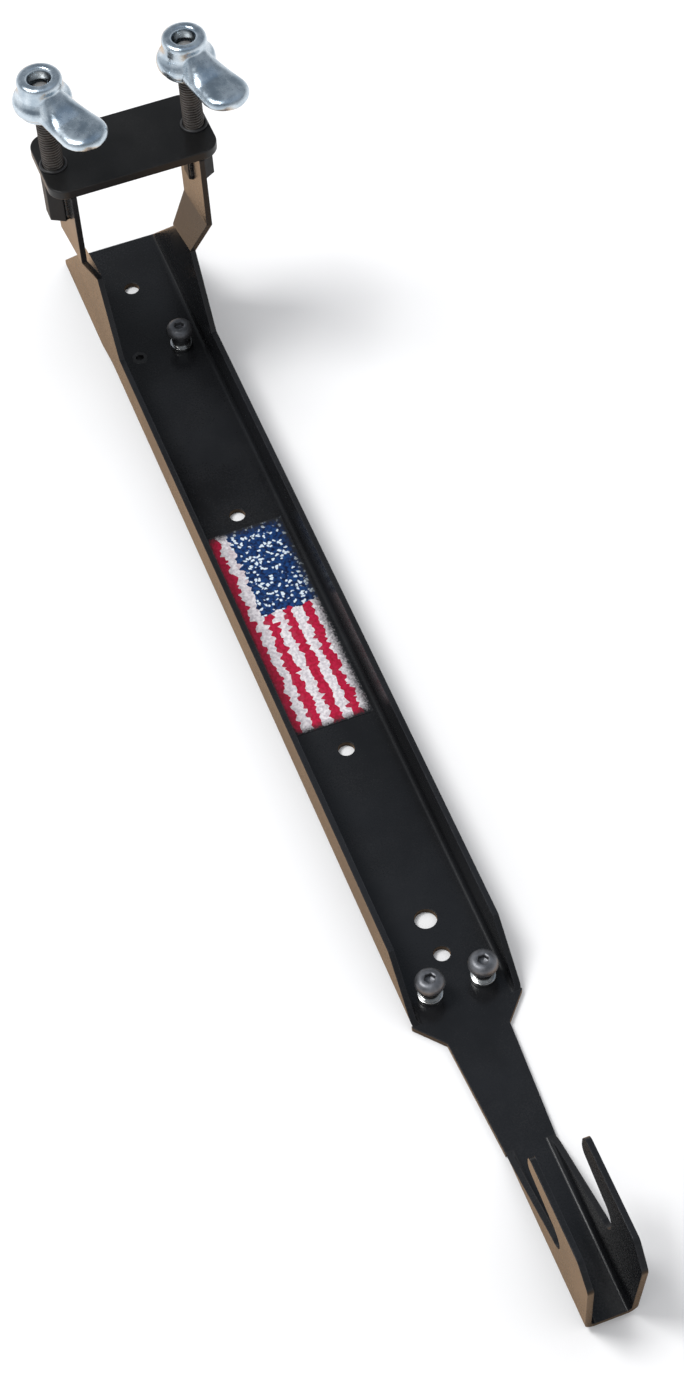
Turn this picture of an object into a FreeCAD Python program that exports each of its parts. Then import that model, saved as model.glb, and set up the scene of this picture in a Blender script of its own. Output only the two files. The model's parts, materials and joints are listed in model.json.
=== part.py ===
"""Clamp-on hitch bar: a folded steel channel with a rail clamp at one end and a slotted fork at the other.

Frame: +X runs along the bar from the clamp to the fork, +Y to the right, +Z up.
The origin is on the web's underside, on the centre line, halfway along the bar.
All sizes are in millimetres.
"""
import FreeCAD, Part
import os
import Sketcher

V = FreeCAD.Vector
doc = FreeCAD.newDocument("HitchBar")
sheet = doc.addObject("Spreadsheet::Sheet", "Sizes")
rows = []
nodes = {}


class Size:
    """A number together with the spreadsheet expression that gives it."""

    def __init__(self, number, text=None):
        self.number = float(number)
        self.text = text or repr(float(number))

    def joined(self, sign, other, number):
        return Size(number, "(%s %s %s)" % (self.text, sign, other.text))

    def __add__(self, other):
        other = as_size(other)
        return self.joined("+", other, self.number + other.number)

    def __sub__(self, other):
        other = as_size(other)
        return self.joined("-", other, self.number - other.number)

    def __mul__(self, other):
        other = as_size(other)
        return self.joined("*", other, self.number * other.number)

    def __truediv__(self, other):
        other = as_size(other)
        return self.joined("/", other, self.number / other.number)

    def __radd__(self, other):
        return as_size(other) + self

    def __rsub__(self, other):
        return as_size(other) - self

    def __rmul__(self, other):
        return as_size(other) * self

    def __neg__(self):
        return Size(-self.number, "(0 - %s)" % self.text)


def as_size(value):
    return value if isinstance(value, Size) else Size(value)


def size(name, number):
    """Write one driving dimension in the sheet and return it."""
    row = len(rows) + 1
    rows.append(name)
    sheet.set("A%d" % row, name)
    sheet.set("B%d" % row, str(number))
    sheet.setAlias("B%d" % row, name)
    return Size(number, "Sizes.%s" % name)


# ---------------------------------------------------------------- driving dimensions
bar_length = size("bar_length", 808.0)
beam_width = size("beam_width", 63.5)
gauge = size("gauge", 3.4)                        # sheet thickness of the folded bar
bend_radius = size("bend_radius", 3.0)            # inside radius of every fold
wall_height = size("wall_height", 31.0)           # channel wall, from the underside
straight_height = size("straight_height", 50.0)   # channel blank, which stays below the fold lines
clamp_centre = size("clamp_centre", 80.0)         # clamp axis, from the clamp end
arm_far = size("arm_far", 58.5)                   # arm's edge nearer the clamp end
arm_front = size("arm_front", 105.0)              # arm's edge nearer the fork
arm_gap = size("arm_gap", 76.2)                   # clear width between the arms
arm_top = size("arm_top", 157.2)
ear_end_height = size("ear_end_height", 65.0)     # where the slanted end meets the arm
ear_front = size("ear_front", 94.5)
ear_height = size("ear_height", 75.5)             # lower fold at the ear's front
ear_root = size("ear_root", 122.5)                # where the ear runs down to the channel wall
fold_slope = size("fold_slope", 0.26)             # rise of both fold lines along X
joggle_rise = size("joggle_rise", 25.5)           # height between the two fold lines
shoulder = size("shoulder", 616.0)                # where the channel ends, from the clamp end
wall_taper = size("wall_taper", 33.0)
shoulder_run = size("shoulder_run", 16.0)
neck_width = size("neck_width", 36.0)
fork_start = size("fork_start", 703.0)
fork_width = size("fork_width", 28.6)
fork_height = size("fork_height", 66.0)
fork_flare = size("fork_flare", 2.3)              # each fork wall leans out by this much at its top
fork_lean = size("fork_lean", 6.0)                # the fork's front edge leans forward
fork_chamfer = size("fork_chamfer", 12.0)
slot_centre_x = size("slot_centre_x", 768.0)
slot_centre_z = size("slot_centre_z", 37.0)
slot_width = size("slot_width", 20.4)
finger_tip = size("finger_tip", 739.0)
finger_depth = size("finger_depth", 13.0)
finger_round = size("finger_round", 5.0)
end_hole_x = size("end_hole_x", 41.0)
upper_hole_x = size("upper_hole_x", 245.0)
lower_hole_x = size("lower_hole_x", 432.0)
small_hole = size("small_hole", 9.5)
pivot_hole_x = size("pivot_hole_x", 555.0)
pivot_hole = size("pivot_hole", 12.7)
pin_hole_x = size("pin_hole_x", 579.0)
pin_hole = size("pin_hole", 9.5)
upper_post_x = size("upper_post_x", 100.0)
lower_post_x = size("lower_post_x", 601.0)
upper_post_y = size("upper_post_y", 14.0)
lower_post_y = size("lower_post_y", 15.4)
stud_thread = size("stud_thread", 12.7)
stud_set = size("stud_set", 5.7)                  # stud axis, outside the arm's inner face
stud_sunk = size("stud_sunk", 8.6)                # the stud ends this far below the hub's top
nut_wall = size("nut_wall", 1.65)                 # coupling nut, from the thread to a flat
nut_length = size("nut_length", 31.75)
plate_end = size("plate_end", 8.7)                # from the stud axis to the plate's end
plate_wide = size("plate_wide", 53.0)
plate_centre = size("plate_centre", 78.5)         # middle of the plate, from the clamp end
plate_thick = size("plate_thick", 6.35)
plate_corner = size("plate_corner", 11.0)
seat_gap = size("seat_gap", 0.1)                  # axial play between pieces that move apart
run_gap = size("run_gap", 0.08)                   # radial play of a running fit
bush_wall = size("bush_wall", 0.87)
bush_rim = size("bush_rim", 1.0)                  # collar, outside the body
bush_collar_thick = size("bush_collar_thick", 1.6)
washer_under = size("washer_under", 209.0)        # underside of the captive washers at rest
washer_inset = size("washer_inset", 2.5)          # washer rim, inside the nut's base rim
washer_thick = size("washer_thick", 2.6)
base_rim = size("base_rim", 4.2)                  # base, outside the hub
base_thick = size("base_thick", 7.5)
hub_wall = size("hub_wall", 6.95)
hub_height = size("hub_height", 20.9)
thread_play = size("thread_play", 1.05)           # room round the stud where the nut's thread would be
hub_cone = size("hub_cone", 5.0)
lever_reach = size("lever_reach", 51.0)
lever_end = size("lever_end", 14.5)
lever_root = size("lever_root", 11.0)
lever_thick = size("lever_thick", 6.6)
left_angle = size("left_angle", 21.5)             # rest directions of the levers, in degrees from +X
right_angle = size("right_angle", 18.0)
post_thread = size("post_thread", 9.5)
ring_rim = size("ring_rim", 1.15)                 # ring, outside the spacer
ring_thick = size("ring_thick", 3.2)
spacer_wall = size("spacer_wall", 1.25)
spacer_length = size("spacer_length", 9.6)
head_disc = size("head_disc", 16.7)
head_thick = size("head_thick", 5.4)
head_rim = size("head_rim", 1.4)
socket_flats = size("socket_flats", 5.6)
socket_depth = size("socket_depth", 3.2)
thread_recess = size("thread_recess", 0.4)        # screw ends stay this far above the underside
decal_length = size("decal_length", 157.0)
decal_width = size("decal_width", 48.0)
decal_thick = size("decal_thick", 0.3)
decal_centre = size("decal_centre", 334.5)
doc.recompute()

HEX_REACH = as_size(1.1547005383792515)           # a hexagon's corner distance over its flat distance
middle = bar_length / 2
half_beam = beam_width / 2
half_fork = fork_width / 2
arm_inner = arm_gap / 2
arm_outer = arm_inner + gauge
outer_radius = bend_radius + gauge
through = as_size(20.0)                           # how far a cutting tool stands out of the work
stud_offset = arm_inner + stud_set
nut_across_flats = stud_thread + 2 * nut_wall
plate_long = 2 * (stud_offset + plate_end)
bush_body = stud_thread + 2 * (run_gap + bush_wall)
bush_collar = bush_body + 2 * bush_rim
hub_disc = stud_thread + 2 * hub_wall
base_disc = hub_disc + 2 * base_rim
washer_disc = base_disc - 2 * washer_inset
lever_under = washer_under + washer_thick + seat_gap
hub_top = lever_under + hub_height
stud_top = hub_top - stud_sunk
spacer_disc = post_thread + 2 * spacer_wall
ring_disc = spacer_disc + 2 * ring_rim
plate_under = arm_top + seat_gap
plate_top = plate_under + plate_thick
head_under = gauge + ring_thick + spacer_length


# ---------------------------------------------------------------- building blocks
def bind(item, prop, value):
    item.setExpression(prop, as_size(value).text)


def place(item, x=0, y=0, z=0, turn=None):
    """Put an object at a point whose coordinates stay tied to the sheet."""
    at = [as_size(value) for value in (x, y, z)]
    rotation = turn if turn is not None else FreeCAD.Rotation()
    item.Placement = FreeCAD.Placement(V(*[value.number for value in at]), rotation)
    for axis, value in zip("xyz", at):
        item.setExpression("Placement.Base.%s" % axis, value.text)
    return item


def box(name, length, width, height, x=0, y=0, z=0):
    item = doc.addObject("Part::Box", name)
    for prop, value in (("Length", length), ("Width", width), ("Height", height)):
        setattr(item, prop, as_size(value).number)
        bind(item, prop, value)
    return place(item, x, y, z)


def cylinder(name, diameter, height, x=0, y=0, z=0, turn=None):
    item = doc.addObject("Part::Cylinder", name)
    item.Radius = as_size(diameter).number / 2
    item.Height = as_size(height).number
    bind(item, "Radius", as_size(diameter) / 2)
    bind(item, "Height", height)
    return place(item, x, y, z, turn)


def hexagon(name, across_flats, height, x=0, y=0, z=0):
    """A hexagonal prism with two flats square to Y."""
    item = doc.addObject("Part::Prism", name)
    reach = as_size(across_flats) * HEX_REACH / 2
    item.Polygon = 6
    item.Circumradius = reach.number
    item.Height = as_size(height).number
    bind(item, "Circumradius", reach)
    bind(item, "Height", height)
    return place(item, x, y, z)


def fuse(name, shapes):
    item = doc.addObject("Part::MultiFuse", name)
    item.Shapes = shapes
    item.Refine = True
    return item


def cut(name, base, tool):
    item = doc.addObject("Part::Cut", name)
    item.Base = base
    item.Tool = tool
    item.Refine = True
    return item


def common(name, first, second):
    item = doc.addObject("Part::Common", name)
    item.Base = first
    item.Tool = second
    item.Refine = True
    return item


def mirror_y(name, source):
    item = doc.addObject("Part::Mirroring", name)
    item.Source = source
    item.Base = V(0, 0, 0)
    item.Normal = V(0, 1, 0)
    return item


def pin(sketch, geometry, point, x, y):
    """Tie one sketch point to the sheet."""
    for kind, value in (("DistanceX", as_size(x)), ("DistanceY", as_size(y))):
        number = sketch.addConstraint(Sketcher.Constraint(kind, -1, 1, geometry, point, value.number))
        sketch.setExpression("Constraints[%d]" % number, value.text)


def outline(name, points, turn=None):
    """A closed sketch of straight lines through the points."""
    sketch = doc.addObject("Sketcher::SketchObject", name)
    sketch.Placement = FreeCAD.Placement(V(), turn if turn is not None else FreeCAD.Rotation())
    corners = [(as_size(x), as_size(y)) for x, y in points]
    count = len(corners)
    for index in range(count):
        start = corners[index]
        end = corners[(index + 1) % count]
        sketch.addGeometry(Part.LineSegment(V(start[0].number, start[1].number, 0),
                                            V(end[0].number, end[1].number, 0)), False)
    for index in range(count):
        sketch.addConstraint(Sketcher.Constraint("Coincident", index, 2, (index + 1) % count, 1))
    for index, (x, y) in enumerate(corners):
        pin(sketch, index, 1, x, y)
    return sketch


def extrude(name, sketch, direction, length, symmetric=False):
    item = doc.addObject("Part::Extrusion", name)
    item.Base = sketch
    item.DirMode = "Custom"
    item.Dir = direction
    item.LengthFwd = as_size(length).number
    bind(item, "LengthFwd", length)
    item.Solid = True
    item.Symmetric = symmetric
    return item


def rounded(name, base, radius, wanted, kind="Part::Fillet"):
    """Round (or chamfer) the edges of base for which wanted(edge) is true."""
    doc.recompute()
    item = doc.addObject(kind, name)
    item.Base = base
    edges = [index for index, edge in enumerate(base.Shape.Edges, 1) if wanted(edge)]
    if not edges:
        raise RuntimeError("no edge to round on " + name)
    reach = as_size(radius).number
    item.Edges = [(index, reach, reach) for index in edges]
    return item


def runs_along(edge, direction):
    """True for a straight edge parallel to a direction."""
    if edge.Curve.TypeId != "Part::GeomLine":
        return False
    return edge.tangentAt(edge.FirstParameter).cross(V(*direction).normalize()).Length < 1e-6


def node(item, label):
    """Name a finished sub-part."""
    item.Label = label
    nodes[label] = item
    return item


SIDE_VIEW = FreeCAD.Rotation(V(1, 0, 0), 90)      # sketch x, y become X, Z
END_VIEW = FreeCAD.Rotation(0.5, 0.5, 0.5, 0.5)   # sketch x, y become Y, Z


# ---------------------------------------------------------------- folded bar
def trough(name, start, end, width, height):
    """A straight U channel with rounded folds, open upwards."""
    outer = box(name + "_outer", end - start, width, height, start - middle, -width / 2, 0)
    outer = rounded(name + "_outer_folds", outer, outer_radius,
                    lambda edge: runs_along(edge, (1, 0, 0)) and edge.BoundBox.ZMax < 0.01)
    inner = box(name + "_inner", end - start + 2 * through, width - 2 * gauge, height,
                start - middle - through, -width / 2 + gauge, gauge)
    inner = rounded(name + "_inner_folds", inner, bend_radius,
                    lambda edge: runs_along(edge, (1, 0, 0)) and edge.BoundBox.ZMax < gauge.number + 0.01)
    return cut(name, outer, inner)


def joggled_wall():
    """The right ear's wall: up, outwards, and up again, swept along the slanted fold lines."""
    low = ear_height - (ear_front * fold_slope)
    high = low + joggle_rise
    mitre = gauge * 0.2
    section = outline("wall_section", [
        (half_beam - gauge, -through),
        (half_beam, -through),
        (half_beam, low),
        (arm_outer, high),
        (arm_outer, arm_top + through),
        (arm_inner, arm_top + through),
        (arm_inner, high + mitre),
        (half_beam - gauge, low + mitre),
    ], END_VIEW)
    place(section, -middle, 0, 0, END_VIEW)
    slope = fold_slope.number
    length = (ear_root + through) * (1 + slope * slope) ** 0.5
    wall = extrude("wall_sweep", section, V(1, 0, slope).normalize(), length)
    folds = [(half_beam.number, low.number), (arm_outer.number, high.number),
             (arm_inner.number, (high + mitre).number), ((half_beam - gauge).number, (low + mitre).number)]

    def is_fold(edge):
        if not runs_along(edge, (1, 0, slope)):
            return False
        start = edge.valueAt(edge.FirstParameter)
        rise = start.z - (start.x + middle.number) * slope
        return any(abs(start.y - y) < 0.01 and abs(rise - z) < 0.01 for y, z in folds)

    return rounded("wall_folds", wall, bend_radius, is_fold)


def side_mask():
    """Side view of the channel, its ears and its arms."""
    profile = outline("side_profile", [
        (-middle, 0),
        (-middle, gauge),
        (arm_far - middle, ear_end_height),
        (arm_far - middle, arm_top),
        (arm_front - middle, arm_top),
        (arm_front - middle, ear_height + (arm_front - ear_front) * fold_slope + joggle_rise),
        (ear_front - middle, ear_height),
        (ear_root - middle, wall_height),
        (shoulder - wall_taper - middle, wall_height),
        (shoulder - middle, gauge),
        (shoulder - middle, 0),
    ], SIDE_VIEW)
    return extrude("side_mask", profile, V(0, 1, 0), arm_gap * 2, symmetric=True)


def neck_plate():
    """The flat neck between the channel and the fork, seen from above."""
    corners = [
        (shoulder - 1 - middle, half_beam),
        (shoulder - middle, half_beam),
        (shoulder + shoulder_run - middle, neck_width / 2),
        (fork_start - middle, half_fork),
        (fork_start + 1 - middle, half_fork),
    ]
    plan = corners + [(x, -as_size(y)) for x, y in reversed(corners)]
    return extrude("neck_plate", outline("neck_plan", plan), V(0, 0, 1), gauge)


def flared_trough():
    """The fork's U section, whose walls lean out towards the top."""
    inner = half_fork - gauge
    lean = fork_flare / fork_height
    half = [(half_fork, as_size(0)), (half_fork + fork_flare, fork_height),
            (inner + fork_flare, fork_height), (inner + gauge * lean, gauge)]
    section = outline("fork_section", half + [(-y, z) for y, z in reversed(half)], END_VIEW)
    place(section, fork_start - middle, 0, 0, END_VIEW)
    walls = extrude("fork_walls", section, V(1, 0, 0), bar_length + fork_lean - fork_start)
    walls = rounded("fork_outer_folds", walls, outer_radius,
                    lambda edge: runs_along(edge, (1, 0, 0)) and edge.BoundBox.ZMax < 0.01)
    return rounded("fork_inner_folds", walls, bend_radius,
                   lambda edge: runs_along(edge, (1, 0, 0)) and abs(edge.BoundBox.ZMax - gauge.number) < 0.01
                   and abs(abs(edge.BoundBox.YMax) - inner.number) < 1)


def fork():
    """The narrow U at the end, whose walls have hook slots open towards the neck."""
    walls = flared_trough()
    slot_x = slot_centre_x - middle
    slot_low = slot_centre_z - slot_width / 2
    slot_high = slot_centre_z + slot_width / 2
    lean_top = fork_height - fork_chamfer
    profile = outline("fork_profile", [
        (fork_start - middle, 0),
        (bar_length - middle, 0),
        (bar_length + fork_lean - middle, lean_top),
        (bar_length + fork_lean - fork_chamfer - middle, fork_height),
        (finger_tip - middle, fork_height),
        (finger_tip - middle, fork_height - finger_depth),
        (slot_x, slot_high),
        (slot_x, slot_low),
        (fork_start - middle, gauge),
    ], SIDE_VIEW)
    mask = extrude("fork_mask", profile, V(0, 1, 0), fork_width * 2, symmetric=True)
    tip_x = (finger_tip - middle).number
    corner_x = (bar_length + fork_lean - fork_chamfer - middle).number

    def is_tip(edge):
        return runs_along(edge, (0, 1, 0)) and abs(edge.BoundBox.XMin - tip_x) < 0.01

    def is_corner(edge):
        return runs_along(edge, (0, 1, 0)) and edge.BoundBox.XMin > corner_x - 0.01 and edge.BoundBox.ZMin > 1

    mask = rounded("fork_mask_tip", mask, finger_round, is_tip)
    mask = rounded("fork_mask_corner", mask, finger_round, is_corner)
    blank = common("fork_blank", walls, mask)
    end = cylinder("slot_end", slot_width, fork_width * 2, slot_x, fork_width, slot_centre_z,
                   FreeCAD.Rotation(V(1, 0, 0), 90))
    return cut("fork", blank, end)


def make_bar():
    channel = trough("channel", as_size(0), shoulder, beam_width, straight_height)
    right = joggled_wall()
    left = mirror_y("wall_left", right)
    walls = fuse("walls", [channel, right, left])
    body = common("channel_body", walls, side_mask())
    bar = fuse("bar_blank", [body, neck_plate(), fork()])
    drills = [cylinder("hole_%d" % index, diameter, gauge + 2 * through, x - middle, y, -through)
              for index, (diameter, x, y) in enumerate([
                  (small_hole, end_hole_x, 0), (small_hole, upper_hole_x, 0), (small_hole, lower_hole_x, 0),
                  (pivot_hole, pivot_hole_x, 0), (pin_hole, pin_hole_x, 0),
                  (post_thread, upper_post_x, upper_post_y), (post_thread, upper_post_x, -upper_post_y),
                  (post_thread, lower_post_x, lower_post_y), (post_thread, lower_post_x, -lower_post_y)])]
    notches = [hexagon("notch_" + name, nut_across_flats, nut_length + through,
                       clamp_centre - middle, side * stud_offset, arm_top - nut_length)
               for name, side in (("left", -1), ("right", 1))]
    node(cut("hitch_bar", bar, fuse("bar_cuts", drills + notches)), "hitch_bar")


# ---------------------------------------------------------------- clamp
def make_clamp_plate():
    blank = box("plate_blank", plate_wide, plate_long, plate_thick,
                plate_centre - plate_wide / 2 - middle, -plate_long / 2, plate_under)
    blank = rounded("plate_corners", blank, plate_corner, lambda edge: runs_along(edge, (0, 0, 1)))
    blank = rounded("plate_edges", blank, 0.8,
                    lambda edge: edge.BoundBox.ZMax - edge.BoundBox.ZMin < 0.01)
    holes = [cylinder("plate_hole_%s" % name, bush_body, plate_thick + 2 * through,
                      clamp_centre - middle, side * stud_offset, plate_under - through)
             for name, side in (("left", -1), ("right", 1))]
    node(cut("clamp_plate", blank, fuse("plate_holes", holes)), "clamp_plate")


def make_side(name, side):
    """The stud and what sits on it, on one side of the clamp."""
    x = clamp_centre - middle
    y = side * stud_offset
    nut_under = arm_top - nut_length

    nut = hexagon("coupling_hex_" + name, nut_across_flats, nut_length, x, y, nut_under)
    bore = cylinder("coupling_bore_" + name, stud_thread, nut_length + 2 * through, x, y, nut_under - through)
    node(cut("coupling_nut_" + name, nut, bore), "coupling_nut_" + name)

    stud = cylinder("stud_bar_" + name, stud_thread, stud_top - nut_under - 2, x, y, nut_under + 2)
    stud = rounded("stud_ends_" + name, stud, 1.0, lambda edge: edge.Curve.TypeId == "Part::GeomCircle",
                   "Part::Chamfer")
    node(stud, "stud_" + name)

    sleeve = cylinder("bush_sleeve_" + name, bush_body, plate_thick, x, y, plate_under)
    collar = cylinder("bush_collar_" + name, bush_collar, bush_collar_thick, x, y, plate_top)
    hole = cylinder("bush_hole_" + name, stud_thread + 2 * run_gap, plate_thick + 2 * through, x, y,
                    plate_under - through)
    node(cut("guide_bush_" + name, fuse("bush_" + name, [sleeve, collar]), hole), "guide_bush_" + name)

    disc = cylinder("washer_blank_" + name, washer_disc, washer_thick, x, y, washer_under)
    hole = cylinder("washer_hole_" + name, stud_thread + 2 * run_gap, washer_thick + 2 * through, x, y,
                    washer_under - through)
    node(cut("nut_washer_" + name, disc, hole), "nut_washer_" + name)
    make_lever_nut(name, x, y, left_angle if side < 0 else right_angle)


def make_lever_nut(name, x, y, angle):
    """A cast hub on a round base, with one broad lever whose upper edge is well rounded."""
    base = cylinder("lever_base_" + name, base_disc, base_thick, x, y, lever_under)
    base = rounded("lever_base_round_" + name, base, 2.0,
                   lambda edge: edge.Curve.TypeId == "Part::GeomCircle")
    hub = cylinder("lever_hub_" + name, hub_disc, hub_height - 1, x, y, lever_under + 1)
    hub = rounded("lever_hub_round_" + name, hub, 2.0,
                  lambda edge: edge.Curve.TypeId == "Part::GeomCircle"
                  and edge.BoundBox.ZMin > stud_top.number)
    skirt = doc.addObject("Part::Cone", "lever_skirt_" + name)
    for prop, value in (("Radius1", base_disc / 2 - 2), ("Radius2", hub_disc / 2), ("Height", hub_cone)):
        setattr(skirt, prop, value.number)
        bind(skirt, prop, value)
    place(skirt, x, y, lever_under + base_thick)

    turn = FreeCAD.Rotation(V(0, 0, 1), angle.number)
    end_x = lever_reach - lever_end
    plan = outline("lever_plan_" + name, [(0, -lever_root), (end_x, -lever_end),
                                          (end_x, lever_end), (0, lever_root)])
    arm = extrude("lever_arm_" + name, plan, V(0, 0, 1), lever_thick)
    tip = cylinder("lever_tip_" + name, lever_end * 2, lever_thick, end_x, 0, 0)
    arm = fuse("lever_tongue_" + name, [arm, tip])
    arm = rounded("lever_crown_" + name, arm, 5.0,
                  lambda edge: edge.BoundBox.XMax > 1 and edge.BoundBox.ZMin > lever_thick.number - 0.01)
    place(arm, x, y, lever_under + 0.5, turn)
    arm.setExpression("Placement.Rotation.Angle", angle.text)

    body = fuse("lever_body_" + name, [base, hub, skirt, arm])
    bore = cylinder("lever_bore_" + name, stud_thread + 2 * thread_play, hub_height + 2 * through, x, y,
                    lever_under - through)
    node(cut("lever_nut_" + name, body, bore), "lever_nut_" + name)


# ---------------------------------------------------------------- standing posts
def socket_screw(name, x, y):
    """A button-head screw with a hexagon socket, its end just inside the underside."""
    shank = cylinder("shank_" + name, post_thread, head_under + 1 - thread_recess, x, y, thread_recess)
    rim = cylinder("head_rim_" + name, head_disc, head_rim, x, y, head_under)
    dome = doc.addObject("Part::Cone", "head_dome_" + name)
    for prop, value in (("Radius1", head_disc / 2), ("Radius2", head_disc / 2 - 3.2),
                        ("Height", head_thick - head_rim)):
        setattr(dome, prop, value.number)
        bind(dome, prop, value)
    place(dome, x, y, head_under + head_rim)
    body = fuse("screw_body_" + name, [shank, rim, dome])
    socket = hexagon("socket_" + name, socket_flats, socket_depth + through, x, y,
                     head_under + head_thick - socket_depth)
    node(cut(name, body, socket), name)


def make_post(index, x, y):
    socket_screw("post_screw_%d" % index, x, y)

    ring = cylinder("ring_blank_%d" % index, ring_disc, ring_thick, x, y, gauge)
    hole = cylinder("ring_hole_%d" % index, post_thread, ring_thick + 2 * through, x, y, gauge - through)
    node(cut("post_ring_%d" % index, ring, hole), "post_ring_%d" % index)

    seat = gauge + ring_thick
    sleeve = cylinder("spacer_blank_%d" % index, spacer_disc, spacer_length, x, y, seat)
    hole = cylinder("spacer_hole_%d" % index, post_thread, spacer_length + 2 * through, x, y, seat - through)
    node(cut("post_spacer_%d" % index, sleeve, hole), "post_spacer_%d" % index)


def make_plug():
    """The socket set screw that fills the upper pair's other hole."""
    x = upper_post_x - middle
    blank = cylinder("plug_blank", post_thread, gauge - thread_recess, x, -upper_post_y, thread_recess)
    socket = hexagon("plug_socket", post_thread / 2, gauge, x, -upper_post_y, gauge - 2.2)
    node(cut("hole_plug", blank, socket), "hole_plug")


def make_decal():
    sticker = box("decal", decal_length, decal_width, decal_thick,
                  decal_centre - decal_length / 2 - middle, -decal_width / 2, gauge)
    node(sticker, "decal")


make_bar()
make_clamp_plate()
for side_name, side_sign in (("left", -1), ("right", 1)):
    make_side(side_name, side_sign)
for post_index, (post_x, post_y) in enumerate([(upper_post_x, upper_post_y), (lower_post_x, -lower_post_y),
                                               (lower_post_x, lower_post_y)], 1):
    make_post(post_index, post_x - middle, post_y)
make_plug()
make_decal()
doc.recompute()

# ---------------------------------------------------------------- checks and files
for item in doc.Objects:
    if "Invalid" in item.State or "Error" in item.State:
        raise RuntimeError("failed object: %s %s" % (item.Name, item.State))
for label, item in nodes.items():
    if item.Shape.isNull() or not item.Shape.isValid() or not item.Shape.Solids:
        raise RuntimeError("bad shape: " + label)

os.makedirs("parts", exist_ok=True)
for label, item in nodes.items():
    item.Shape.exportStep(os.path.join("parts", label + ".step"))
print("wrote %d sub-parts" % len(nodes))
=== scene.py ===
import json
import math

import bmesh
import bpy
from mathutils import Matrix, Vector


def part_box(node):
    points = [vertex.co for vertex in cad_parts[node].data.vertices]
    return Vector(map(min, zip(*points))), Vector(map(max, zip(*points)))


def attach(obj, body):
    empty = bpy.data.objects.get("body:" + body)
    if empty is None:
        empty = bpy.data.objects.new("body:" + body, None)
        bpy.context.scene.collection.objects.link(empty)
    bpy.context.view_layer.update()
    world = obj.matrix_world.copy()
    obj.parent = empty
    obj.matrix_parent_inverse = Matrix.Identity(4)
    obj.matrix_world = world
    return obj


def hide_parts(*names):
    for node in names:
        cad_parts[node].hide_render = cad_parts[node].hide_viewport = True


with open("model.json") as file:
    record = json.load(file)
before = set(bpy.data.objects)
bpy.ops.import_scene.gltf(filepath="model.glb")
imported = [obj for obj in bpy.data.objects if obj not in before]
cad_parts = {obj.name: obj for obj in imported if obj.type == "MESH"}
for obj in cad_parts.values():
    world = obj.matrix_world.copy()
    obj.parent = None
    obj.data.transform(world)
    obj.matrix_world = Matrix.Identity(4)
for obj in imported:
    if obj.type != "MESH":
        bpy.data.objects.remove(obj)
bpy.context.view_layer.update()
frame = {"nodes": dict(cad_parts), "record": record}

MM = 0.001

# Sizes that several pieces share
THREAD_PITCH = 25.4 / 13 * MM        # the clamp studs' thread
THREAD_DEPTH = 1.05 * MM
STUD_SLIDE_RADIUS = 6.43 * MM        # bore of what slides on a stud
SCREW_RADIUS = 4.75 * MM             # shank of the three standing screws
LEVER_ANGLE = {"left": 21.5, "right": 18.0}


# ------------------------------------------------------------------ node tools
def put(tree, kind, inputs=None, **settings):
    """Add a node; inputs are numbers, colours or the sockets that feed them."""
    made = tree.nodes.new(kind)
    for key, value in settings.items():
        setattr(made, key, value)
    for key, value in (inputs or {}).items():
        if isinstance(value, bpy.types.NodeSocket):
            tree.links.new(value, made.inputs[key])
        else:
            made.inputs[key].default_value = value
    return made


def maths(tree, operation, first, second=0.0):
    return put(tree, "ShaderNodeMath", {0: first, 1: second}, operation=operation).outputs[0]


def ramp(tree, value, low, high, start=0.0, end=1.0, kind="LINEAR"):
    """Map value from low..high to start..end, clamped."""
    return put(tree, "ShaderNodeMapRange", {"Value": value, "From Min": low, "From Max": high,
                                            "To Min": start, "To Max": end},
               interpolation_type=kind).outputs["Result"]


def blend_colour(tree, share, first, second):
    share_socket, first_socket, second_socket, colour_out = 0, 6, 7, 2
    made = put(tree, "ShaderNodeMix", {share_socket: share}, data_type="RGBA", clamp_factor=True)
    for number, value in ((first_socket, first), (second_socket, second)):
        if isinstance(value, bpy.types.NodeSocket):
            tree.links.new(value, made.inputs[number])
        else:
            made.inputs[number].default_value = value
    return made.outputs[colour_out]


def noise(tree, place, scale, detail=2.0, roughness=0.5):
    return put(tree, "ShaderNodeTexNoise", {"Vector": place, "Scale": scale, "Detail": detail,
                                            "Roughness": roughness}).outputs[0]


def object_place(tree):
    return put(tree, "ShaderNodeTexCoord").outputs["Object"]


def split(tree, vector):
    """The X, Y and Z of a vector."""
    return put(tree, "ShaderNodeSeparateXYZ", {0: vector}).outputs


def facing_up(tree, low, high):
    """0 on upright faces and 1 on level ones that look up, between two heights of the normal."""
    return ramp(tree, split(tree, put(tree, "ShaderNodeNewGeometry").outputs["Normal"])["Z"], low, high)


def rgb(red, green, blue):
    return (red, green, blue, 1.0)


# ------------------------------------------------------------------ effects that finishes share
def new_group(name, inputs, outputs):
    tree = bpy.data.node_groups.new(name, "ShaderNodeTree")
    for label, value in inputs.items():
        tree.interface.new_socket(label, in_out="INPUT", socket_type="NodeSocketFloat").default_value = value
    for label, kind in outputs.items():
        tree.interface.new_socket(label, in_out="OUTPUT", socket_type="NodeSocket" + kind)
    return tree, tree.nodes.new("NodeGroupInput").outputs, tree.nodes.new("NodeGroupOutput").inputs


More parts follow.
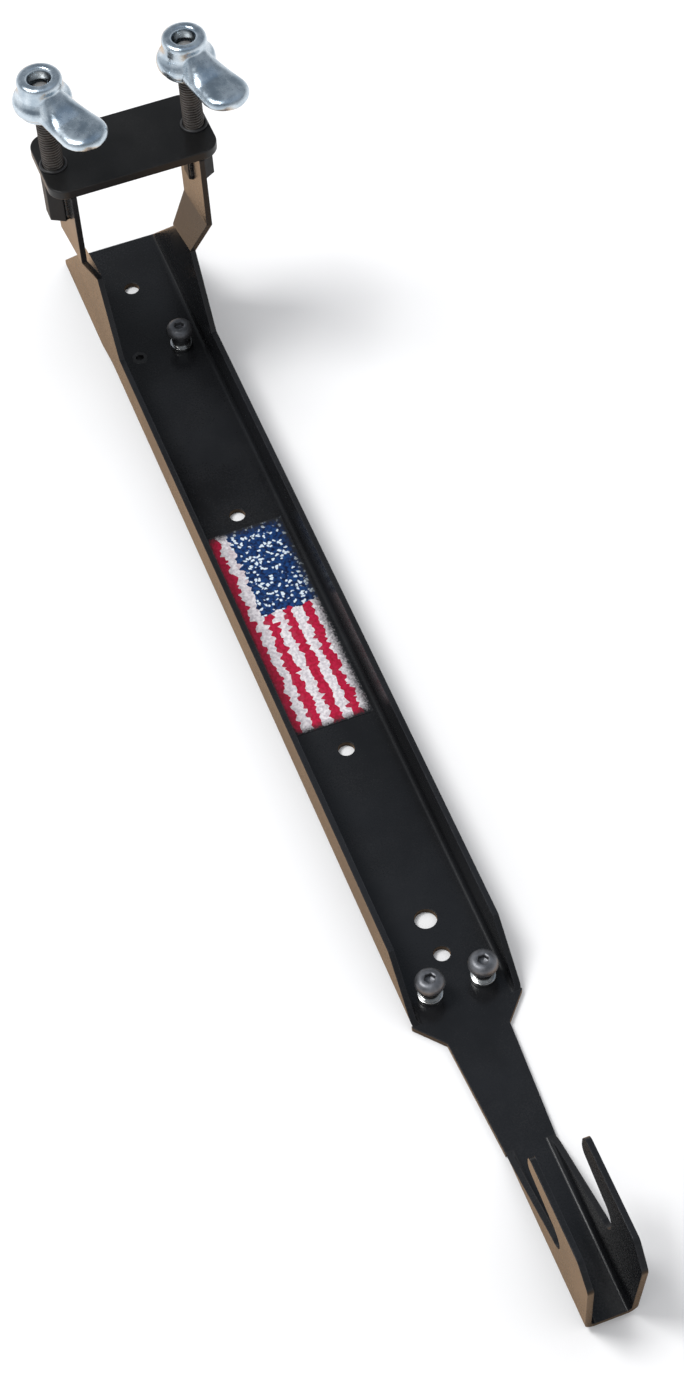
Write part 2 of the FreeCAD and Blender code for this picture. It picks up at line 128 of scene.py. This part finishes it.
def grain_group():
    """A fine and a broad mottle: a value between Low and High, the fine height and the broad mask."""
    tree, given, result = new_group("fine_grain",
                                    {"Scale": 500.0, "Broad Scale": 18.0, "Low": 0.2, "High": 0.4},
                                    {"Value": "Float", "Height": "Float", "Broad": "Float"})
    place = object_place(tree)
    fine = noise(tree, place, given["Scale"], 3.0)
    broad = noise(tree, place, given["Broad Scale"], 4.0, 0.6)
    mixed = maths(tree, "ADD", maths(tree, "MULTIPLY", fine, 0.35), maths(tree, "MULTIPLY", broad, 0.65))
    tree.links.new(ramp(tree, mixed, 0.36, 0.64, given["Low"], given["High"]), result["Value"])
    tree.links.new(fine, result["Height"])
    tree.links.new(ramp(tree, broad, 0.38, 0.62), result["Broad"])
    return tree


def edge_group():
    """Where an edge of about Radius runs: a worn mask, and the normal eased over the edge."""
    tree, given, result = new_group("eased_edge", {"Radius": 0.8 * MM, "Wear Scale": 220.0},
                                    {"Mask": "Float", "Normal": "Vector"})
    eased = put(tree, "ShaderNodeBevel", {"Radius": given["Radius"]}, samples=4).outputs[0]
    flat = put(tree, "ShaderNodeNewGeometry").outputs["Normal"]
    turned = put(tree, "ShaderNodeVectorMath", {0: eased, 1: flat}, operation="DOT_PRODUCT").outputs["Value"]
    patch = noise(tree, object_place(tree), given["Wear Scale"], 3.0)
    mask = maths(tree, "MULTIPLY", ramp(tree, turned, 0.995, 0.90), ramp(tree, patch, 0.35, 0.65, 0.35, 1.0))
    tree.links.new(mask, result["Mask"])
    tree.links.new(eased, result["Normal"])
    return tree


def dust_group():
    """A thin settled film on faces that look up, in drifts of the given size."""
    tree, given, result = new_group("settled_dust", {"Scale": 30.0, "Cover": 0.5}, {"Mask": "Float"})
    place = object_place(tree)
    drift = noise(tree, place, given["Scale"], 5.0, 0.65)
    specks = noise(tree, place, 1400.0)
    film = maths(tree, "MULTIPLY", ramp(tree, drift, 0.42, 0.75), ramp(tree, specks, 0.40, 0.70))
    film = maths(tree, "MULTIPLY", film, facing_up(tree, 0.3, 0.95))
    tree.links.new(maths(tree, "MULTIPLY", film, given["Cover"]), result["Mask"])
    return tree


GRAIN, EDGE, DUST = grain_group(), edge_group(), dust_group()


# ------------------------------------------------------------------ finishes
def new_material(name, metallic, coat=0.0, coat_roughness=0.1, specular=0.5):
    material = bpy.data.materials.new(name)
    material.use_nodes = True
    tree = material.node_tree
    tree.nodes.clear()
    shader = put(tree, "ShaderNodeBsdfPrincipled", {"Metallic": metallic, "Coat Weight": coat,
                                                    "Coat Roughness": coat_roughness,
                                                    "Specular IOR Level": specular})
    put(tree, "ShaderNodeOutputMaterial", {"Surface": shader.outputs[0]})
    return material, tree, shader.inputs


def add_bump(tree, surface, height, depth, strength, normal=None):
    inputs = {"Height": height, "Distance": depth, "Strength": strength}
    if normal is not None:
        inputs["Normal"] = normal
    tree.links.new(put(tree, "ShaderNodeBump", inputs).outputs[0], surface["Normal"])


def painted(name, colour, lighter, worn, gloss, coat=0.1, specular=0.2):
    """Powder coat: a faint orange peel, a lighter worn line on edges and a little dust."""
    material, tree, surface = new_material(name, 0.0, coat, 0.12, specular)
    peel_depth, edge_share, dust_share, dust_roughness = 0.03 * MM, 0.6, 0.5, 0.25
    grain = put(tree, "ShaderNodeGroup", {"Scale": 620.0, "Broad Scale": 11.0, "Low": gloss[0],
                                          "High": gloss[1]}, node_tree=GRAIN).outputs
    edge = put(tree, "ShaderNodeGroup", {"Radius": 0.9 * MM}, node_tree=EDGE).outputs
    dust = put(tree, "ShaderNodeGroup", {"Cover": 0.15}, node_tree=DUST).outputs["Mask"]
    base = blend_colour(tree, grain["Broad"], colour, lighter)
    base = blend_colour(tree, maths(tree, "MULTIPLY", edge["Mask"], edge_share), base, worn)
    base = blend_colour(tree, maths(tree, "MULTIPLY", dust, dust_share), base, rgb(0.16, 0.155, 0.15))
    tree.links.new(base, surface["Base Color"])
    dusty = maths(tree, "MULTIPLY", dust, dust_roughness)
    tree.links.new(maths(tree, "ADD", grain["Value"], dusty), surface["Roughness"])
    add_bump(tree, surface, grain["Height"], peel_depth, 0.22, edge["Normal"])
    return material


def metal(name, colour, darker, worn, gloss, scale, depth, metallic=1.0, edge_radius=0.4 * MM, cut_end=None):
    """A plated or oiled metal: mottled tone, fine pitting, worn edges and, if given, bare cut ends."""
    material, tree, surface = new_material(name, metallic)
    wear_share, pit_strength = 0.5, 0.7
    grain = put(tree, "ShaderNodeGroup", {"Scale": scale, "Broad Scale": 90.0, "Low": gloss[0],
                                          "High": gloss[1]}, node_tree=GRAIN).outputs
    edge = put(tree, "ShaderNodeGroup", {"Radius": edge_radius}, node_tree=EDGE).outputs
    base = blend_colour(tree, grain["Broad"], darker, colour)
    base = blend_colour(tree, maths(tree, "MULTIPLY", edge["Mask"], wear_share), base, worn)
    if cut_end:
        base = blend_colour(tree, facing_up(tree, 0.80, 0.97), base, cut_end)
    tree.links.new(base, surface["Base Color"])
    tree.links.new(grain["Value"], surface["Roughness"])
    add_bump(tree, surface, grain["Height"], depth, pit_strength, edge["Normal"])
    return material


def bar_paint():
    return painted("powder_coat", rgb(0.0085, 0.0088, 0.0098), rgb(0.0120, 0.0128, 0.0148),
                   rgb(0.045, 0.047, 0.055), (0.22, 0.32))


def clamp_plate_paint():
    return painted("powder_coat_plate", rgb(0.007, 0.007, 0.0072), rgb(0.011, 0.011, 0.0112),
                   rgb(0.042, 0.042, 0.044), (0.28, 0.40))


def coupling_nut_paint():
    return painted("powder_coat_on_nuts", rgb(0.006, 0.006, 0.0065), rgb(0.012, 0.012, 0.0125),
                   rgb(0.09, 0.09, 0.095), (0.42, 0.58), coat=0.0, specular=0.22)


def oiled_stud():
    return metal("black_stud", rgb(0.060, 0.048, 0.040), rgb(0.020, 0.016, 0.014), rgb(0.16, 0.14, 0.125),
                 (0.30, 0.50), 700.0, 0.03 * MM, metallic=0.7, edge_radius=0.15 * MM,
                 cut_end=rgb(0.62, 0.58, 0.54))


def black_bush_plastic():
    return metal("black_bush", rgb(0.020, 0.020, 0.021), rgb(0.009, 0.009, 0.010), rgb(0.06, 0.06, 0.062),
                 (0.35, 0.50), 800.0, 0.03 * MM, metallic=0.0)


def screw_oxide():
    return metal("black_oxide", rgb(0.21, 0.215, 0.23), rgb(0.11, 0.112, 0.12), rgb(0.34, 0.34, 0.36),
                 (0.34, 0.50), 900.0, 0.03 * MM, metallic=0.75)


def spacer_zinc():
    bright = rgb(0.80, 0.80, 0.79)
    return metal("zinc_bright", bright, rgb(0.50, 0.50, 0.49), bright, (0.16, 0.30), 700.0, 0.02 * MM)


def lever_nut_zinc():
    return metal("zinc_cast", rgb(0.66, 0.74, 0.80), rgb(0.40, 0.48, 0.55), rgb(0.85, 0.89, 0.92),
                 (0.18, 0.36), 420.0, 0.12 * MM, edge_radius=0.8 * MM)


def decal_print(low, high):
    """Broken stripes along the bar and a blue field with light flecks, frayed round the rim."""
    material, tree, surface = new_material("printed_film", 0.0, 0.05, 0.2, 0.25)
    stripe_count, field_length, field_from_stripe = 8.0, 0.435, 2.0
    place = object_place(tree)
    chips = put(tree, "ShaderNodeTexVoronoi", {"Vector": place, "Scale": 330.0}).outputs
    ragged = noise(tree, place, 900.0)
    tone = noise(tree, place, 500.0)
    mottle = ramp(tree, tone, 0.35, 0.65)

    chip_at = split(tree, chips["Position"])
    along = ramp(tree, chip_at["X"], low.x, high.x)
    across = ramp(tree, chip_at["Y"], low.y, high.y)
    joint = maths(tree, "PINGPONG", maths(tree, "MULTIPLY", across, stripe_count), 1.0)
    stripe_number = maths(tree, "FLOOR", maths(tree, "MULTIPLY", across, stripe_count - 0.001))
    reds = blend_colour(tree, mottle, rgb(0.36, 0.001, 0.026), rgb(0.52, 0.004, 0.050))
    whites = blend_colour(tree, mottle, rgb(0.56, 0.52, 0.56), rgb(0.86, 0.82, 0.84))
    stripes = blend_colour(tree, maths(tree, "MODULO", stripe_number, 2.0), reds, whites)
    stripes = blend_colour(tree, ramp(tree, joint, 0.16, 0.0, 0.0, 0.25), stripes, rgb(0.35, 0.10, 0.14))

    swirl = put(tree, "ShaderNodeTexNoise", {"Vector": place, "Scale": 260.0}).outputs["Color"]
    bent = put(tree, "ShaderNodeVectorMath", {0: swirl, 1: (4.5 * MM, 4.5 * MM, 0.0), 2: place},
               operation="MULTIPLY_ADD").outputs[0]
    fleck = put(tree, "ShaderNodeTexVoronoi", {"Vector": bent, "Scale": 330.0, "Randomness": 0.9})
    fleck_edge = maths(tree, "ADD", fleck.outputs["Distance"], maths(tree, "MULTIPLY", ragged, 0.25))
    blues = blend_colour(tree, mottle, rgb(0.001, 0.007, 0.040), rgb(0.004, 0.050, 0.20))
    field = blend_colour(tree, ramp(tree, fleck_edge, 0.50, 0.40), blues, rgb(0.70, 0.80, 0.88))
    in_field = maths(tree, "MULTIPLY", maths(tree, "LESS_THAN", along, field_length),
                     maths(tree, "GREATER_THAN", across, field_from_stripe / stripe_count))
    printed = blend_colour(tree, in_field, stripes, field)

    at = split(tree, place)
    rim = 1.0
    for axis, edge_at, fade in (("X", low.x, 9 * MM), ("X", high.x, -7 * MM),
                                ("Y", low.y, 3 * MM), ("Y", high.y, -9 * MM)):
        rim = maths(tree, "MULTIPLY", rim, ramp(tree, at[axis], edge_at, edge_at + fade))
    frayed = ramp(tree, maths(tree, "ADD", rim, maths(tree, "MULTIPLY", ragged, 0.7)), 0.42, 1.05)
    tree.links.new(blend_colour(tree, frayed, rgb(0.014, 0.015, 0.017), printed), surface["Base Color"])
    tree.links.new(ramp(tree, tone, 0.3, 0.7, 0.30, 0.48), surface["Roughness"])
    add_bump(tree, surface, chips["Distance"], 0.05 * MM, 0.4)
    return material


FINISH = {
    "powder_coat": bar_paint(),
    "powder_coat_plate": clamp_plate_paint(),
    "black_stud": oiled_stud(),
    "black_bush": black_bush_plastic(),
    "black_oxide": screw_oxide(),
    "zinc_bright": spacer_zinc(),
    "zinc_cast": lever_nut_zinc(),
    "decal_film": decal_print(*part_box("decal")),
}


def finish_cad_nodes():
    """Every CAD node gets its slot's finish, but for the coupling nuts and the plug in the web."""
    on_nuts = coupling_nut_paint()
    own = {"coupling_nut_left": on_nuts, "coupling_nut_right": on_nuts, "hole_plug": FINISH["black_bush"]}
    for part in frame["record"]["subparts"]:
        node = part["node"]
        materials = frame["nodes"][node].data.materials
        materials.clear()
        materials.append(own.get(node, FINISH[part["material_slot"]]))


finish_cad_nodes()


# ------------------------------------------------------------------ mesh tools
def place_piece(name, mesh, body, slot, *replaced):
    """Put a mesh in the scene with its finish, riding on a body in place of its CAD nodes."""
    made = bpy.data.objects.new(name, mesh)
    bpy.context.scene.collection.objects.link(made)
    mesh.materials.append(FINISH[slot])
    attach(made, body)
    if replaced:
        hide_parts(*replaced)


def shade(mesh, crisp_above):
    """Smooth shading, but crisp at edges sharper than the angle."""
    work = bmesh.new()
    work.from_mesh(mesh)
    bmesh.ops.recalc_face_normals(work, faces=work.faces)
    limit = math.radians(crisp_above)
    for face in work.faces:
        face.smooth = True
    for edge in work.edges:
        edge.smooth = len(edge.link_faces) != 2 or edge.calc_face_angle(0.0) < limit
    work.to_mesh(mesh)
    work.free()


def mesh_from(work, name):
    mesh = bpy.data.meshes.new(name)
    work.to_mesh(mesh)
    work.free()
    return mesh


def spun(work, centre, profile, segments=64, closed=True, bend=None):
    """Spin (radius, height) points round an upright axis; bend(angle, radius) may reshape a ring."""
    rings = []
    for radius, height in profile:
        if radius == 0:
            rings.append([work.verts.new((centre.x, centre.y, height))])
            continue
        ring = []
        for step in range(segments):
            angle = 2 * math.pi * step / segments
            far = bend(angle, radius) if bend else radius
            ring.append(work.verts.new((centre.x + far * math.cos(angle), centre.y + far * math.sin(angle),
                                        height)))
        rings.append(ring)
    pairs = list(zip(rings, rings[1:]))
    if closed:
        pairs.append((rings[-1], rings[0]))
    for lower, upper in pairs:
        for step in range(segments):
            after = (step + 1) % segments
            corners = [lower[step % len(lower)], lower[after % len(lower)],
                       upper[after % len(upper)], upper[step % len(upper)]]
            corners = list(dict.fromkeys(corners))
            if len(corners) > 2:
                work.faces.new(corners)


def turned_piece(name, node, body, slot, profile):
    work = bmesh.new()
    spun(work, node_box(node)[0], profile)
    mesh = mesh_from(work, name)
    shade(mesh, 35.0)
    place_piece(name, mesh, body, slot, node)


def node_box(node):
    """A node's middle, its lowest and its highest corner."""
    low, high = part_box(node)
    return (low + high) / 2, low, high


# ------------------------------------------------------------------ pieces of the clamp
def threaded_stud(name, node, body):
    """A stud with a rolled helical thread, chamfered at both ends."""
    centre, low, high = node_box(node)
    crest = (high.x - low.x) / 2
    columns = 48
    cut_shape = [0.0, 0.35, 1.0, 1.0, 0.35, 0.0]          # how deep each row of one turn is cut
    rows = len(cut_shape)
    count = int((high.z - low.z) / THREAD_PITCH + 2) * rows
    work = bmesh.new()
    grid = []
    for column in range(columns):
        angle = 2 * math.pi * column / columns
        line = []
        for row in range(-rows, count + rows):
            height = low.z + THREAD_PITCH * (row / rows + column / columns)
            height = min(max(height, low.z), high.z)
            chamfer = crest - THREAD_DEPTH * 1.1 + min(height - low.z, high.z - height)
            radius = min(crest - THREAD_DEPTH * cut_shape[row % rows], chamfer)
            line.append(work.verts.new((centre.x + radius * math.cos(angle),
                                        centre.y + radius * math.sin(angle), height)))
        grid.append(line)
    for column in range(columns):
        after = (column + 1) % columns
        climb = rows if after == 0 else 0
        for row in range(len(grid[0]) - 1 - climb):
            work.faces.new([grid[column][row], grid[after][row + climb], grid[after][row + 1 + climb],
                            grid[column][row + 1]])
    bmesh.ops.remove_doubles(work, verts=work.verts, dist=0.01 * MM)
    bmesh.ops.dissolve_degenerate(work, dist=0.005 * MM, edges=work.edges)
    bmesh.ops.holes_fill(work, edges=[edge for edge in work.edges if edge.is_boundary], sides=0)
    mesh = mesh_from(work, name)
    shade(mesh, 50.0)
    place_piece(name, mesh, body, "black_stud", node)


def hub_profile(bore, tall):
    """Half section of a lever nut without its lever: round foot, cone, hub and rounded mouth."""
    hub, base = 13.3 * MM, 17.4 * MM
    return [(bore + 0.9 * MM, 0), (base - 1.8 * MM, 0), (base - 0.4 * MM, 0.7 * MM), (base, 2.2 * MM),
            (base, 4.8 * MM), (base - 0.7 * MM, 6.6 * MM), (base - 2.2 * MM, 8.0 * MM),
            (hub + 0.5 * MM, 10.2 * MM), (hub, 12.5 * MM), (hub, tall - 2.3 * MM),
            (hub - 0.7 * MM, tall - 0.7 * MM), (hub - 2.3 * MM, tall), (bore + 1.2 * MM, tall),
            (bore, tall - 1.2 * MM), (bore, 0.9 * MM)]


def lever_sections():
    """Cross sections of the lever from inside the hub to its tip: each an upper and a lower line."""
    start, knee, reach = 8.6 * MM, 36.3 * MM, 50.8 * MM
    root_half, extra_half = 11.0 * MM, 3.4 * MM
    underside, rim, crown_height, shoulder_height = 0.4 * MM, 1.9 * MM, 5.0 * MM, 9.0 * MM
    shoulder_from, shoulder_run = 13.0 * MM, 15.0 * MM
    stations, lanes = 44, 28
    for station in range(stations + 1):
        along = start + (reach - start) * math.sin(station / stations * math.pi / 2) ** 0.9
        out = min(1.0, along / knee)
        past = max(0.0, (along - knee) / (reach - knee))
        half = (root_half + extra_half * out) * math.sqrt(max(0.0, 1 - past ** 2.2))
        crown = crown_height * max(0.0, 1 - past ** 5.0) ** 0.5
        fall = max(0.0, along - shoulder_from) / shoulder_run
        shoulder = shoulder_height * max(0.0, 1 - fall) ** 1.4
        above, below = [], []
        for lane in range(lanes + 1):
            side = math.sin((lane / lanes * 2 - 1) * math.pi / 2)
            dome = max(0.0, 1 - abs(side) ** 3.2) ** 0.5
            dished = crown * dome * (1 - 0.16 * (1 - side * side) * out)
            raised = dished + shoulder * math.exp(-(1.25 * side) ** 4)
            above.append((along, side * half, underside + rim + raised))
            below.append((along, side * half, underside + 0.5 * MM * (1 - dome)))
        yield above, below


def skin_lever(work, sections):
    """Close the lever's sections into one skin."""
    rows = [[[work.verts.new(point) for point in line] for line in section] for section in sections]
    last = len(rows[0][0]) - 1
    for (above, below), (next_above, next_below) in zip(rows, rows[1:]):
        for lane in range(last):
            work.faces.new([above[lane], next_above[lane], next_above[lane + 1], above[lane + 1]])
            work.faces.new([below[lane], below[lane + 1], next_below[lane + 1], next_below[lane]])
        for lane in (0, last):
            work.faces.new([above[lane], next_above[lane], next_below[lane], below[lane]])
    for above, below in (rows[0], rows[-1]):
        for lane in range(last):
            work.faces.new([above[lane], above[lane + 1], below[lane + 1], below[lane]])


def melted(work, name):
    """Run the bodies of a casting together, with soft fillets where they meet."""
    pattern = bpy.data.objects.new(name + "_pattern", mesh_from(work, name + "_pattern"))
    bpy.context.scene.collection.objects.link(pattern)
    melt = pattern.modifiers.new("melt", "REMESH")
    melt.mode, melt.voxel_size = "VOXEL", 0.55 * MM
    ease = pattern.modifiers.new("ease", "SMOOTH")
    ease.factor, ease.iterations = 0.5, 7
    bpy.context.view_layer.update()
    mesh = bpy.data.meshes.new_from_object(pattern.evaluated_get(bpy.context.evaluated_depsgraph_get()))
    mesh.name = name
    bpy.data.objects.remove(pattern)
    mesh.materials.clear()
    return mesh


def lever_nut(name, node, stud, body, degrees):
    """A cast nut: round base, hub and one broad dished lever."""
    axis = node_box(stud)[0]
    low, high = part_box(node)
    work = bmesh.new()
    spun(work, Vector((0, 0, 0)), hub_profile(6.75 * MM, high.z - low.z), 96)
    skin_lever(work, lever_sections())
    bmesh.ops.recalc_face_normals(work, faces=work.faces)
    mesh = melted(work, name)
    turn = Matrix.Rotation(math.radians(degrees), 4, "Z")
    mesh.transform(Matrix.Translation((axis.x, axis.y, low.z)) @ turn)
    shade(mesh, 70.0)
    place_piece(name, mesh, body, "zinc_cast", node)


def guide_bush(name, node, body):
    """A sleeve in the plate with a rounded collar above it."""
    _, low, high = node_box(node)
    collar, bore = (high.x - low.x) / 2, STUD_SLIDE_RADIUS
    sleeve, seat = collar - 1.0 * MM, high.z - 1.6 * MM
    turned_piece(name, node, body, "black_bush", [
        (bore, low.z), (sleeve, low.z), (sleeve, seat), (collar - 0.2 * MM, seat), (collar, seat + 0.3 * MM),
        (collar, high.z - 0.7 * MM), (collar - 0.25 * MM, high.z - 0.25 * MM), (collar - 0.7 * MM, high.z),
        (bore + 0.5 * MM, high.z), (bore, high.z - 0.5 * MM)])


def weld_bead(work, at, way, side, low, high):
    """One rippled bead up a nut's side, rounded off at both ends."""
    rows, around, inset, ripples = 64, 14, 1.5 * MM, 13
    rings = []
    for row in range(rows + 1):
        share = row / rows
        height = low + inset + (high - low - 2 * inset) * share
        swell = 1.55 * MM + 0.28 * MM * abs(math.sin(share * ripples * math.pi))
        swell += 0.12 * MM * math.sin(share * 31 + way + 3 * side)
        swell *= min(1.0, math.sqrt(share * 14 + 0.02), math.sqrt((1 - share) * 14 + 0.02))
        drift = 0.2 * MM * math.sin(share * 9 + way * 2)
        rings.append([work.verts.new((at.x + drift + swell * math.cos(turn), at.y + swell * math.sin(turn),
                                      height))
                      for turn in (2 * math.pi * step / around for step in range(around))])
    for lower, upper in zip(rings, rings[1:]):
        for step in range(around):
            after = (step + 1) % around
            work.faces.new([lower[step], lower[after], upper[after], upper[step]])
    work.faces.new(list(reversed(rings[0])))
    work.faces.new(rings[-1])


def nut_welds(name, nut, side, body):
    """Beads down the four corners where a coupling nut meets the arm."""
    centre, low, high = node_box(nut)
    sixth = math.pi / 6
    corner = (high.y - low.y) / 2 / math.cos(sixth)
    work = bmesh.new()
    for inward in (5.7 * MM, 2.3 * MM):
        half = corner - inward * math.tan(sixth)
        for way in (-1, 1):
            at = Vector((centre.x + way * half, side * (abs(centre.y) - inward), 0))
            weld_bead(work, at, way, side, low.z, high.z)
    mesh = mesh_from(work, name)
    shade(mesh, 60.0)
    place_piece(name, mesh, body, "powder_coat")


# ------------------------------------------------------------------ pieces of the standing posts
def plain_ring(name, node, body, slot, bore, ease):
    """A turned ring with eased edges: washer, spacer or base ring."""
    _, low, high = node_box(node)
    outer, soft = (high.x - low.x) / 2, 0.3 * ease
    turned_piece(name, node, body, slot, [
        (bore + ease, low.z), (outer - ease, low.z), (outer - soft, low.z + soft), (outer, low.z + ease),
        (outer, high.z - ease), (outer - soft, high.z - soft), (outer - ease, high.z), (bore + ease, high.z),
        (bore, high.z - ease), (bore, low.z + ease)])


def button_screw(name, node, seat_node, body):
    """A domed head with a chamfered hexagon socket, on a plain shank."""
    centre, low, high = node_box(node)
    seat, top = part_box(seat_node)[1].z, high.z
    head, crown, edge = (high.x - low.x) / 2, 4.1 * MM, 1.3 * MM
    socket, socket_depth, socket_point = 2.8 * MM, 3.2 * MM, 0.9 * MM
    chamfer, ease = 0.5 * MM, 0.3 * MM

    def hexagon(angle, radius):
        """Rings as small as the socket turn six-sided."""
        if radius > socket * 1.18:
            return radius
        turned = (angle + math.pi / 6) % (math.pi / 3) - math.pi / 6
        return radius / math.cos(turned)

    shank = [(0, low.z), (SCREW_RADIUS - chamfer, low.z), (SCREW_RADIUS, low.z + chamfer),
             (SCREW_RADIUS, seat), (head - ease, seat), (head, seat + ease)]
    dome = [(crown + (head - crown) * math.cos(math.radians(step)),
             seat + edge + (top - seat - edge) * math.sin(math.radians(step))) for step in range(0, 91, 9)]
    hollow = [(socket * 1.24, top), (socket, top - 0.35 * MM), (socket, top - socket_depth),
              (0, top - socket_depth - socket_point)]
    work = bmesh.new()
    spun(work, centre, shank + dome + hollow, 72, closed=False, bend=hexagon)
    mesh = mesh_from(work, name)
    shade(mesh, 32.0)
    place_piece(name, mesh, body, "black_oxide", node)


for hand, sign in (("left", -1), ("right", 1)):
    threaded_stud("threaded_stud_" + hand, "stud_" + hand, "bar")
    lever_nut("cast_lever_nut_" + hand, "lever_nut_" + hand, "stud_" + hand, hand + "_lever",
              LEVER_ANGLE[hand])
    plain_ring("captive_washer_" + hand, "nut_washer_" + hand, hand + "_washer", "zinc_cast",
               STUD_SLIDE_RADIUS, 0.5 * MM)
    guide_bush("collared_bush_" + hand, "guide_bush_" + hand, "clamp_plate")
    nut_welds("weld_beads_" + hand, "coupling_nut_" + hand, sign, "bar")
for number in ("1", "2", "3"):
    button_screw("button_screw_" + number, "post_screw_" + number, "post_spacer_" + number, "bar")
    plain_ring("bright_spacer_" + number, "post_spacer_" + number, "bar", "zinc_bright",
               SCREW_RADIUS, 0.35 * MM)
    plain_ring("base_ring_" + number, "post_ring_" + number, "bar", "zinc_bright", SCREW_RADIUS, 0.45 * MM)


# ------------------------------------------------------------------ floor, lights and camera
def pale_floor():
    """Pale to the eye; close beside the bar, reflections see it warm tan: a painted reflection on the bar.
    """
    material, tree, surface = new_material("pale_floor", 0.0, specular=0.2)
    grain = put(tree, "ShaderNodeGroup", {"Scale": 60.0, "Broad Scale": 2.0, "Low": 0.75, "High": 0.9},
                node_tree=GRAIN).outputs
    pale = blend_colour(tree, grain["Broad"], rgb(0.89, 0.89, 0.89), rgb(0.91, 0.91, 0.91))
    glossy = put(tree, "ShaderNodeLightPath").outputs["Is Glossy Ray"]
    sideways = maths(tree, "ABSOLUTE", split(tree, object_place(tree))["Y"])
    painted_reflection_near_bar = ramp(tree, sideways, 0.07, 0.16, 1.0, 0.0)
    # painted reflection: near the bar, glossy rays see warm tan instead of the pale floor
    seen = blend_colour(tree, maths(tree, "MULTIPLY", glossy, painted_reflection_near_bar), pale, rgb(0.82, 0.56, 0.36))
    tree.links.new(seen, surface["Base Color"])
    tree.links.new(grain["Value"], surface["Roughness"])
    return material


def lay_floor():
    half, height = 40.0, -0.4 * MM
    corners = [(-half, -half, height), (half, -half, height), (half, half, height), (-half, half, height)]
    mesh = bpy.data.meshes.new("floor")
    mesh.from_pydata(corners, [], [(0, 1, 2, 3)])
    mesh.materials.append(pale_floor())
    floor = bpy.data.objects.new("floor", mesh)
    bpy.context.scene.collection.objects.link(floor)


def soft_light(name, at, aim, width, depth, power, colour=(1.0, 1.0, 1.0)):
    lamp = bpy.data.lights.new(name, "AREA")
    lamp.shape, lamp.size, lamp.size_y = "RECTANGLE", width, depth
    lamp.energy, lamp.color = power, colour
    holder = bpy.data.objects.new(name, lamp)
    holder.location = at
    holder.rotation_euler = (Vector(aim) - Vector(at)).to_track_quat("-Z", "Y").to_euler()
    holder.visible_camera = False
    bpy.context.scene.collection.objects.link(holder)


def studio_world():
    """White light all round; in reflections a bright horizon under a darker, cooler ceiling."""
    world = bpy.data.worlds.new("studio")
    world.use_nodes = True
    tree = world.node_tree
    tree.nodes.clear()
    height = split(tree, put(tree, "ShaderNodeTexCoord").outputs["Generated"])["Z"]
    ceiling = ramp(tree, height, 0.05, 0.62, kind="SMOOTHSTEP")
    seen = blend_colour(tree, ceiling, rgb(0.85, 0.86, 0.88), rgb(0.25, 0.275, 0.305))
    glossy = put(tree, "ShaderNodeLightPath").outputs["Is Glossy Ray"]
    colour = blend_colour(tree, glossy, rgb(0.74, 0.74, 0.75), seen)
    sky = put(tree, "ShaderNodeBackground", {"Color": colour, "Strength": 1.0})
    put(tree, "ShaderNodeOutputWorld", {"Surface": sky.outputs[0]})
    bpy.context.scene.world = world


def set_camera():
    right, up, back = (0.3647, 0.9306, -0.0301), (-0.743, 0.3104, 0.593), (0.5612, -0.1939, 0.8047)
    lens = bpy.data.cameras.new("camera")
    lens.sensor_fit, lens.sensor_height, lens.lens = "VERTICAL", 36.0, 78.325
    lens.shift_x, lens.shift_y = -0.0509, -0.0140
    lens.clip_start, lens.clip_end = 0.01, 50.0
    camera = bpy.data.objects.new("camera", lens)
    turn = Matrix((right, up, back)).transposed()
    camera.matrix_world = Matrix.Translation((0.9867, -0.2889, 1.4217)) @ turn.to_4x4()
    bpy.context.scene.collection.objects.link(camera)
    bpy.context.scene.camera = camera


lay_floor()
soft_light("key", (-0.7, -1.35, 3.2), (0, 0, 0), 1.2, 1.2, 72.0)
soft_light("overhead", (-0.35, 0.35, 1.9), (-0.1, 0, 0), 1.5, 1.1, 0.7, (0.40, 0.64, 1.0))
studio_world()
bpy.context.scene.view_settings.view_transform = "Standard"
set_camera()
